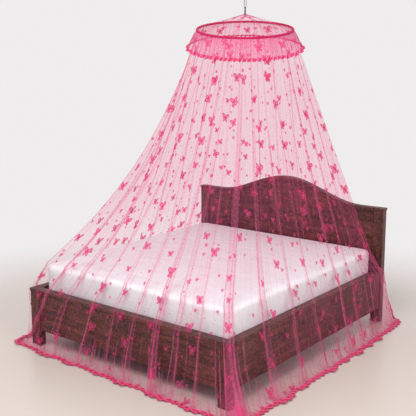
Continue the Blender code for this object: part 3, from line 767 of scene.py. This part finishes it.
def lace_material(name, least):
    """Ruched lace and its small open cells; layers holds how high it stands, and the lace is painted pale
    on the ridges as painted highlight and deep in the hollows as painted shade.
    """
    mat = Material(name, rough=0.62, colour=TRIM_PINK)
    mat.put(Sheen_Weight=0.35, Sheen_Roughness=0.35, Sheen_Tint=LACE_SHEEN)
    tau, down = mat.uv()
    metres = mat.attribute("metres")
    lit_ridge = mat.attribute("layers")
    cell = math.tau / LACE_PITCH
    net = ((tau * metres * cell).op("SINE") * (down * cell).op("SINE")).op("ABSOLUTE")
    blotch = mat.noise(mat.place(), 130.0, 2.0)
    # painted highlight on the ridges and painted shade in the hollows, mixed with random blotches
    tone = lit_ridge * 0.80 + blotch.step(0.35, 0.70) * 0.36 - 0.08
    colour = mat.blend(tone.step(0.0, 0.50), TRIM_SHADE, TRIM_PINK)
    mat.link(mat.blend(tone.step(0.50, 1.0), colour, TRIM_HIGHLIGHT), "Base Color")
    mat.link((net.step(0.95, 0.62) + lit_ridge * 0.8).op("MINIMUM", 1.0) * (1.0 - least) + least, "Alpha")
    mat.bump(tone * 2.0 - net, 0.0012, 0.6)
    return mat.mat


def binding_material():
    mat = Material("bound_hoop_cloth", rough=0.75, colour=TRIM_PINK)
    mat.put(Sheen_Weight=0.15, Sheen_Tint=BINDING_SHEEN, Specular_IOR_Level=0.2)
    turn = mat.attribute("metres")
    tucks = mat.noise(mat.place(), 210.0, 3.0)
    ribs = (turn * (math.tau * BINDING_RIBS)).op("SINE")
    # lower tucks and ribs are painted darker: painted shade in the ruching's hollows
    share = (tucks.step(0.35, 0.75) * 0.7 + (ribs * 0.15 + 0.15)).op("MINIMUM", 1.0)
    mat.link(mat.blend(share, BINDING_SHADE, BINDING_PINK), "Base Color")
    mat.bump(ribs + tucks * 2.0, 0.0010, 0.6)
    return mat.mat


def wood_material(name, grain):
    """Dark stained wood; grain names the axis that its fibres run along."""
    mat = Material(name, rough=0.45, colour=WOOD_DARK)
    mat.put(Specular_IOR_Level=0.35, Coat_Weight=0.05, Coat_Roughness=0.30)
    broad = mat.noise(mat.place(tuple(1.8 if axis == grain else 22.0 for axis in "xyz")), 1.0, 4.0, 0.6)
    fine = mat.noise(mat.place(tuple(9.0 if axis == grain else 120.0 for axis in "xyz")), 1.0, 3.0, 0.6)
    speck = mat.noise(mat.place(), 70.0, 3.0)
    stain = mat.noise(mat.place(), 4.0, 2.0)
    share = (broad.step(0.38, 0.66) * 0.30 + fine.step(0.42, 0.62) * 0.32
             + speck.step(0.44, 0.66) * 0.42 + stain * 0.34 - 0.26)
    mat.link(mat.blend(share.op("MINIMUM", 1.0).op("MAXIMUM", 0.0), WOOD_DARK, WOOD_LIGHT), "Base Color")
    mat.link(fine * 0.22 + 0.36, "Roughness")
    mat.bump(fine + broad * 0.6 + speck * 0.4, 0.0012, 0.5)
    return mat.mat


def cotton_material():
    """Fine white cotton with a faint weave and soft creases, whose hollows are painted greyer as painted
    shade.
    """
    mat = Material("mattress_cotton", rough=0.95, colour=COTTON)
    mat.put(Sheen_Weight=0.05, Sheen_Roughness=0.6, Specular_IOR_Level=0.10)
    crease = mat.noise(mat.place((2.2, 5.0, 4.0)), 2.0, 4.0, 0.6)
    thread = math.tau / COTTON_PITCH
    x, y, z = mat.split(mat.place())
    weave = ((x + z) * thread).op("SINE") * ((y + z) * thread).op("SINE")
    # greyer where the crease height is low: painted shade in the creases
    mat.link(mat.blend(crease.step(0.25, 0.75), COTTON_CREASE_SHADE, COTTON), "Base Color")
    mat.bump(crease * 6.0 + weave * 0.12, 0.0030, 0.55)
    return mat.mat


def steel_material(name, dark, light):
    mat = Material(name, rough=0.32, metal=1.0, colour=light)
    scratch = mat.noise(mat.place((40.0, 40.0, 900.0)), 1.0, 3.0)
    mat.link(scratch * 0.25 + 0.22, "Roughness")
    mat.link(mat.blend(scratch.step(0.3, 0.8), dark, light), "Base Color")
    mat.bump(scratch, 0.0002, 0.4)
    return mat.mat


# ---- cloth pieces
def build_skirt():
    """The net from the hoop to the hem."""
    columns, points, layers = build_skirt_grid()
    down, step = cloth_coordinates(points)
    rows = points.shape[1]
    tau = np.concatenate([[0.0], np.cumsum(step[:, rows // 4])])
    tau = tau / tau[-1]
    turn = smoothed(np.diff(tau), SMOOTHED)
    share = row_shares()
    ease = interp(EASE, share)
    metres = np.zeros_like(down)
    for r in range(rows):
        metres[:, r] = smoothed(step[:, r], SMOOTHED) / turn * ease[r]
    layers = layers * interp(TOP_LAYERS, share) + interp(PILE, share) - 1.0
    right = right_half(columns)
    drawn = ramp(right, 20.0, 8.0) * ramp(right, 44.0, -6.0)
    layers += np.outer(drawn, 3.4 * ramp(share, 0.42, 0.20))
    beside = ramp(columns, -52.0, 10.0) * ramp(columns, 24.0, -8.0)
    layers += np.outer(beside, 0.9 * ramp(share, 0.56, 0.06) * ramp(share, 0.86, -0.08))
    skirt = cloth_mesh("skirt", points, tau[:-1], down, metres, layers,
                       net_material("net_tulle", 0.027, SKIRT_PRINTS))
    return skirt, points


def hem_frame(points):
    """The hem line, resampled evenly, with its outward run, its normal and its scallops."""
    line = points[:, -1]
    closed = np.concatenate([line, line[:1]])
    along = np.concatenate([[0.0], np.cumsum(np.linalg.norm(np.diff(closed, axis=0), axis=1))])
    long = along[-1]
    scallops = int(round(long / HEM_PITCH))
    at = np.linspace(0.0, long, scallops * HEM_POINTS, endpoint=False)
    run = unit(line - points[:, -3])
    run = np.concatenate([run, run[:1]])
    mid = np.stack([np.interp(at, along, closed[:, k]) for k in range(3)], axis=1)
    out = unit(np.stack([smoothed(np.interp(at, along, run[:, k]), HEM_POINTS + 1) for k in range(3)],
                        axis=1))
    tangent = unit(np.roll(mid, -3, axis=0) - np.roll(mid, 3, axis=0))
    normal = np.cross(out, tangent)
    normal *= np.where(normal[:, 2:] < -0.05, -1.0, 1.0)
    return mid, out, unit(normal), scallops, long


def build_hem(points):
    """Ruched lace along the whole hem, with a twisted pair of cords down its middle."""
    mid, out, normal, scallops, long = hem_frame(points)
    count = len(mid)
    phase = math.tau * scallops * np.arange(count) / count
    slow = math.tau * np.arange(count) / count
    grid = np.zeros((count, HEM_ROWS, 3))
    loose = np.maximum(ramp(mid[:, 2], 0.22, -0.12), 0.12)     # it lies folded where the hem climbs
    reach = HEM_WIDE * (1.0 - 0.30 * np.cos(phase) + 0.06 * np.sin(7 * slow)) * loose
    for r in range(HEM_ROWS):
        f = r / (HEM_ROWS - 1)
        ruffle = (0.0036 + 0.0034 * f) * np.sin(phase + 1.6 * f) + 0.0014 * np.sin(2.0 * phase + 1.0)
        lift = np.abs(ruffle * loose) + 0.0016 + 0.0015 * math.sin(math.pi * f)
        grid[:, r] = mid + out * (reach * f - 0.003)[:, None] + normal * lift[:, None]
    grid[:, :, 2] = np.maximum(grid[:, :, 2], HEM_LEAST_Z)
    # lighter and darker along each scallop: painted highlight on the crests and painted shade between them;
    # it also makes the lace more solid on the crests
    lit_ridge = 0.5 + 0.5 * np.cos(phase[:, None] + 1.2 * np.linspace(0.0, 1.0, HEM_ROWS))
    strip = cloth_mesh("hem_ruffle", grid, np.arange(count) / count, cloth_coordinates(grid)[0], long,
                       lit_ridge, lace_material("hem_lace_ground", 0.42))
    lace = lace_material("hem_lace_cord", 0.80)
    cords = []
    for k in (0, 1):
        turn = phase * 0.5 + math.pi * k
        centre = (mid + out * ((0.0120 + 0.0150 * np.sin(turn)) * loose)[:, None]
                  + normal * (0.0035 + (0.0065 + 0.0036 * np.cos(turn)) * loose)[:, None])
        centre[:, 2] = np.maximum(centre[:, 2], CORD_LEAST_Z)
        # each cord is painted lighter where its twist lies uppermost and darker underneath: painted
        # highlight and painted shade
        cords.append(tube_loop(f"hem_cord_{k + 1}", centre, (CORD_R * loose)[:, None], lace, long,
                               0.34 + 0.30 * np.cos(turn)))
    return strip, cords


def tube_loop(name, centre, radius, material, metres, lit_ridge):
    """A closed tube along a loop of points, its cloth coordinate the same all around it."""
    tangent = unit(np.roll(centre, -1, axis=0) - np.roll(centre, 1, axis=0))
    side = unit(np.cross(tangent, (0.0, 0.0, 1.0)))
    up = np.cross(side, tangent)
    rings = np.zeros((len(centre), CORD_SIDES + 1, 3))
    for k in range(CORD_SIDES + 1):
        a = math.tau * k / CORD_SIDES
        rings[:, k] = centre + radius * (side * math.cos(a) + up * math.sin(a))
    tau = np.arange(len(centre)) / len(centre)
    return cloth_mesh(name, rings, tau, np.zeros(rings.shape[:2]), metres, lit_ridge[:, None], material)


def build_frill():
    """Gathered flounce around the hoop, and the ruched lace on its edge."""
    grid = np.zeros((FRILL_COLUMNS, FRILL_ROWS, 3))
    layers = np.zeros(grid.shape[:2])
    outs = np.zeros((FRILL_COLUMNS, 3))
    for c in range(FRILL_COLUMNS):
        azimuth = 360.0 * c / FRILL_COLUMNS
        a = math.radians(azimuth)
        longer = math.cos(math.radians(azimuth - FRILL_LONG_AT))
        wave = math.sin(FRILL_WAVES * a) * (1.0 + 0.35 * math.sin(3 * a + math.radians(40)))
        gather = (math.sin(61 * a + 1.3 * math.sin(5 * a)) + 0.6 * math.sin(97 * a + 2.0)
                  + 0.5 * math.sin(139 * a))
        fold = max(0.0, gather) ** 2
        outs[c] = direction(azimuth)
        top = hoop_point(azimuth, HOOP_R + 0.0036, -(HOOP_BAR_R - 0.0004))
        drop = np.array([0.0, 0.0, FRILL_DROP + FRILL_UNEVEN * longer])
        for r in range(FRILL_ROWS):
            f = r / (FRILL_ROWS - 1)
            flare = FRILL_FLARE * (0.25 * f ** 0.5 + 0.75 * f) + FRILL_WAVE * wave * f
            tuck = 0.0016 * gather * math.sin(math.pi * min(1.0, 0.15 + f)) ** 0.5
            grid[c, r] = top + outs[c] * (flare + tuck) - drop * f
            layers[c, r] = ((3.5 + 2.0 * fold * (1.0 - 0.5 * f) + 3.6 * math.exp(-f * 3.5))
                            * (0.86 + 0.42 * longer))
    tau = np.arange(FRILL_COLUMNS) / FRILL_COLUMNS
    metres = math.tau * (HOOP_R + 0.04) * 1.06
    frill = cloth_mesh("flounce", grid, tau, cloth_coordinates(grid)[0], metres, layers,
                       net_material("flounce_tulle", 0.070, FRILL_PRINTS, streak=1.1))
    phase = math.tau * FRILL_RUCHES * tau
    slow = math.tau * tau
    ruched = phase + 0.9 * np.sin(6 * slow)
    run = outs * 0.44 - np.array([0.0, 0.0, 0.90])
    normal = outs * 0.90 + np.array([0.0, 0.0, 0.44])
    front = 0.5 + 0.5 * np.cos(slow - math.radians(FRILL_LONG_AT))
    reach = FRILL_LACE_WIDE * (1.0 + 0.13 * np.cos(phase * 2.0 + np.sin(9 * slow))) * (0.45 + 0.55 * front)
    strip = np.zeros((FRILL_COLUMNS, FRILL_LACE_ROWS, 3))
    lit_ridge = np.zeros(strip.shape[:2])
    for r in range(FRILL_LACE_ROWS):
        f = r / (FRILL_LACE_ROWS - 1)
        ruche = np.sin(ruched + 2.0 * f)
        # lighter where the ruche puffs out and darker where it tucks in, as painted highlight and painted
        # shade, with more contrast towards the foot's right corner
        lit_ridge[:, r] = 0.45 + (0.20 + 0.35 * front) * ruche
        puff = (0.0045 + 0.0050 * abs(f - 0.45)) * ruche + 0.0022 * np.sin(2.6 * phase + 1.0 + 3.0 * f)
        strip[:, r] = grid[:, -1] + run * (reach * f - 0.004)[:, None] + normal * (puff + 0.0045)[:, None]
    ruffle = cloth_mesh("flounce_ruffle", strip, tau, cloth_coordinates(strip)[0], metres, lit_ridge,
                        lace_material("ruffle_lace", 0.70))
    return frill, ruffle


def build_crown():
    """Shallow cone of net from the neck on the swivel to the bound hoop, in soft pleats."""
    grid = np.zeros((CROWN_COLUMNS, CROWN_ROWS, 3))
    layers = np.zeros(grid.shape[:2])
    for c in range(CROWN_COLUMNS):
        azimuth = 360.0 * c / CROWN_COLUMNS
        a = math.radians(azimuth)
        pleat = 0.5 - 0.5 * math.cos(CROWN_PLEATS * a)
        crease = max(0.0, math.cos(CROWN_PLEATS * a + math.pi)) ** 8
        tuck = math.sin(37 * a + 1.1 * math.sin(4 * a)) + 0.6 * math.sin(71 * a)
        seam = 1.6 * math.exp(-((wrap(azimuth + 50.0)) / 0.7) ** 2)
        low = hoop_point(azimuth, HOOP_R - 0.0010, HOOP_BAR_R + 0.0009)
        neck = np.array([0.0, HOOP_Y, NECK_Z]) + direction(azimuth) * (BARREL_R + 0.0016)
        for r in range(CROWN_ROWS):
            f = r / (CROWN_ROWS - 1)
            if f < CROWN_NECK:
                grid[c, r] = neck + np.array([0.0, 0.0, 0.009 * (1.0 - f / CROWN_NECK)])
                layers[c, r] = 7.0
                continue
            g = (f - CROWN_NECK) / (1.0 - CROWN_NECK)
            arch = math.sin(math.pi * g)
            lift = 0.0065 * pleat * arch + 0.0008 * tuck * (1.0 - g) - CROWN_DIP * arch ** 0.8
            grid[c, r] = neck * (1.0 - g) + low * g + np.array([0.0, 0.0, lift])
            layers[c, r] = (0.90 + 3.6 * crease + seam + 3.2 * math.exp(-g * 9.0)
                            + 0.35 * max(0.0, tuck) * (1.0 - g) + 2.0 * math.exp(-(1.0 - g) * 40.0))
    down, step = cloth_coordinates(grid)
    return cloth_mesh("crown", grid, np.arange(CROWN_COLUMNS) / CROWN_COLUMNS, down,
                      step * CROWN_COLUMNS, layers, net_material("crown_tulle", 0.045, CROWN_PRINTS))


def build_binding():
    """Ruched cloth sewn around the hoop."""
    rings = np.zeros((BINDING_COLUMNS, BINDING_SIDES + 1, 3))
    for c in range(BINDING_COLUMNS):
        azimuth = 360.0 * c / BINDING_COLUMNS
        a = math.radians(azimuth)
        ruche = 0.0006 * math.sin(180 * a) + 0.0005 * math.sin(111 * a + 1.0)
        for k in range(BINDING_SIDES + 1):
            b = math.tau * k / BINDING_SIDES
            r = BINDING_R + ruche + 0.0003 * math.sin(3 * b + 40 * a)
            rings[c, k] = hoop_point(azimuth, HOOP_R + r * math.cos(b), r * math.sin(b))
    tau = np.arange(BINDING_COLUMNS) / BINDING_COLUMNS
    down = np.tile(np.linspace(0.0, math.tau * BINDING_R, BINDING_SIDES + 1), (BINDING_COLUMNS, 1))
    return cloth_mesh("hoop_binding", rings, tau, down, tau[:, None], 1.0, binding_material())


# ---- bed and hook
def build_mattress():
    """Soft-edged mattress with a slight crown and a faint hollow along its sides."""
    middle = (BED_HIGH.z + BED_LOW.z) / 2
    flat_h = (BED_HIGH.z - BED_LOW.z) / 2 - MAT_EDGE_R
    corners = []
    for cx, cy, first in ((1, 1, 0), (-1, 1, 90), (-1, -1, 180), (1, -1, 270)):
        for k in range(MAT_ARC + 1):
            a = math.radians(first + 90.0 * k / MAT_ARC)
            corners.append((cx * (MAT_HALF_W - MAT_CORNER_R), cy * (MAT_HEAD_Y - MAT_CORNER_R),
                            math.cos(a), math.sin(a)))
    outline = []
    for (x, y, nx, ny), (x2, y2, _, _) in zip(corners, corners[1:] + corners[:1]):
        outline.append((x, y, nx, ny))
        if (x, y) != (x2, y2):
            outline += [(x + (x2 - x) * k / MAT_RUN, y + (y2 - y) * k / MAT_RUN, nx, ny)
                        for k in range(1, MAT_RUN)]
    n = len(outline)

    def ring(inset, z):
        return [(x + nx * (MAT_CORNER_R - inset), y + ny * (MAT_CORNER_R - inset), z)
                for x, y, nx, ny in outline]

    arc = [math.radians(90.0 * k / MAT_ARC) for k in range(MAT_ARC + 1)]
    edge = [(MAT_EDGE_R * (1 - math.cos(a)), flat_h + MAT_EDGE_R * math.sin(a)) for a in arc]
    rings = [ring(inset, middle - rise) for inset, rise in reversed(edge)]
    for k in range(1, MAT_SIDE):
        f = k / MAT_SIDE
        rings.append(ring(MAT_HOLLOW * math.sin(math.pi * f), middle - flat_h * (1.0 - 2.0 * f)))
    rings += [ring(inset, middle + rise) for inset, rise in edge]
    top = rings[-1]
    for k in range(1, MAT_TOP):
        f = 1.0 - k / MAT_TOP
        inner = []
        for x, y, z in top:
            px, py = x * f, y * f
            soft = (math.sin(3.1 * px + 1.7 * py) + math.sin(5.3 * py - 2.2 * px + 1.0)
                    + 0.6 * math.sin(11.0 * px + 7.0 * py))
            inner.append((px, py, z - 0.0012 * (1.0 + soft / 2.6) * (1.0 - f)))
        rings.append(inner)
    faces = [(n * i + j, n * i + (j + 1) % n, n * (i + 1) + (j + 1) % n, n * (i + 1) + j)
             for i in range(len(rings) - 1) for j in range(n)]
    faces.append(tuple(range(n * (len(rings) - 1), n * len(rings))))
    faces.append(tuple(range(n - 1, -1, -1)))
    mesh = bpy.data.meshes.new("mattress_cover")
    mesh.from_pydata([(x + SHIFT[0], y + SHIFT[1], z) for row in rings for x, y, z in row], [], faces)
    shade_smooth(mesh)
    mesh.materials.append(cotton_material())
    return add_object("mattress_cover", mesh)


def paint(obj, material):
    obj.data.materials.clear()
    obj.data.materials.append(material)


def dress_frame():
    for axis, kinds in GRAIN.items():
        wood = wood_material("stained_wood_" + axis, axis)
        for name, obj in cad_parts.items():
            if name.startswith(kinds):
                paint(obj, wood)


def dress_hook():
    for name, tones in (("swivel", SWIVEL_STEEL), ("hook_link", LINK_STEEL_SHADED)):
        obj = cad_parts[name]
        paint(obj, steel_material(name + "_steel", *tones))
        shade_smooth(obj.data)


# ---- stage
def build_floor():
    """Plain pale floor that fades into the room's own pale tone."""
    mesh = bpy.data.meshes.new("floor")
    mesh.from_pydata([(x * FLOOR_HALF, y * FLOOR_HALF, 0) for x, y in ((-1, -1), (1, -1), (1, 1), (-1, 1))],
                     [], [(0, 1, 2, 3)])
    mat = Material("plain_floor", rough=0.30, colour=FLOOR)
    away = mat.tree.nodes.new("ShaderNodeVectorMath")
    away.operation = "DISTANCE"
    away.inputs[1].default_value = FLOOR_MIDDLE
    mat.tree.links.new(mat.place().socket, away.inputs[0])
    mat.link(mat.num(away.outputs["Value"]).step(*FLOOR_FADE), "Alpha")
    mesh.materials.append(mat.mat)
    add_object("floor", mesh)


def area_light(name, at, target, power):
    """Square soft light that faces its target."""
    data = bpy.data.lights.new(name, "AREA")
    data.shape = "SQUARE"
    data.size = LIGHT_SIZE
    data.energy = power
    lamp = add_object(name, data)
    lamp.location = at
    lamp.rotation_euler = Vector(np.array(at) - np.array(target)).to_track_quat("Z", "Y").to_euler()


def build_light():
    world = bpy.data.worlds.new("room")
    world.use_nodes = True
    back = world.node_tree.nodes["Background"]
    back.inputs["Color"].default_value = (*ROOM, 1.0)
    back.inputs["Strength"].default_value = 1.0
    bpy.context.scene.world = world
    area_light("key", *KEY_LIGHT)
    area_light("fill", *FILL_LIGHT)
    bpy.context.scene.view_settings.view_transform = "Standard"


def build_camera():
    data = bpy.data.cameras.new("camera")
    data.sensor_width = SENSOR_MM
    data.lens = FOCAL_PX / FRAME_PX * SENSOR_MM
    data.shift_y = (PRINCIPAL_Y_PX - FRAME_PX / 2) / FRAME_PX
    camera = add_object("camera", data)
    camera.location = tuple(np.array(CAMERA_AT) + SHIFT)
    camera.rotation_euler = (math.radians(90.0 - CAMERA_PITCH), 0.0, math.radians(CAMERA_TURN))
    bpy.context.scene.camera = camera


def main():
    build_camera()
    build_light()
    build_floor()
    dress_frame()
    dress_hook()
    skirt, points = build_skirt()
    hem, cords = build_hem(points)
    frill, ruffle = build_frill()
    crown = build_crown()
    binding = build_binding()
    mattress = build_mattress()
    for piece, node, slot in (
            (skirt, "skirt_net", "net"), (hem, "hem_lace", "lace"), (frill, "frill_net", "net"),
            (ruffle, "frill_lace", "lace"), (crown, "crown_net", "net"),
            (binding, "bound_hoop", "binding"), (mattress, "mattress", "ticking")):
        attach(piece, "root")
        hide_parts(node)
    for cord in cords:
        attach(cord, "root")


main()
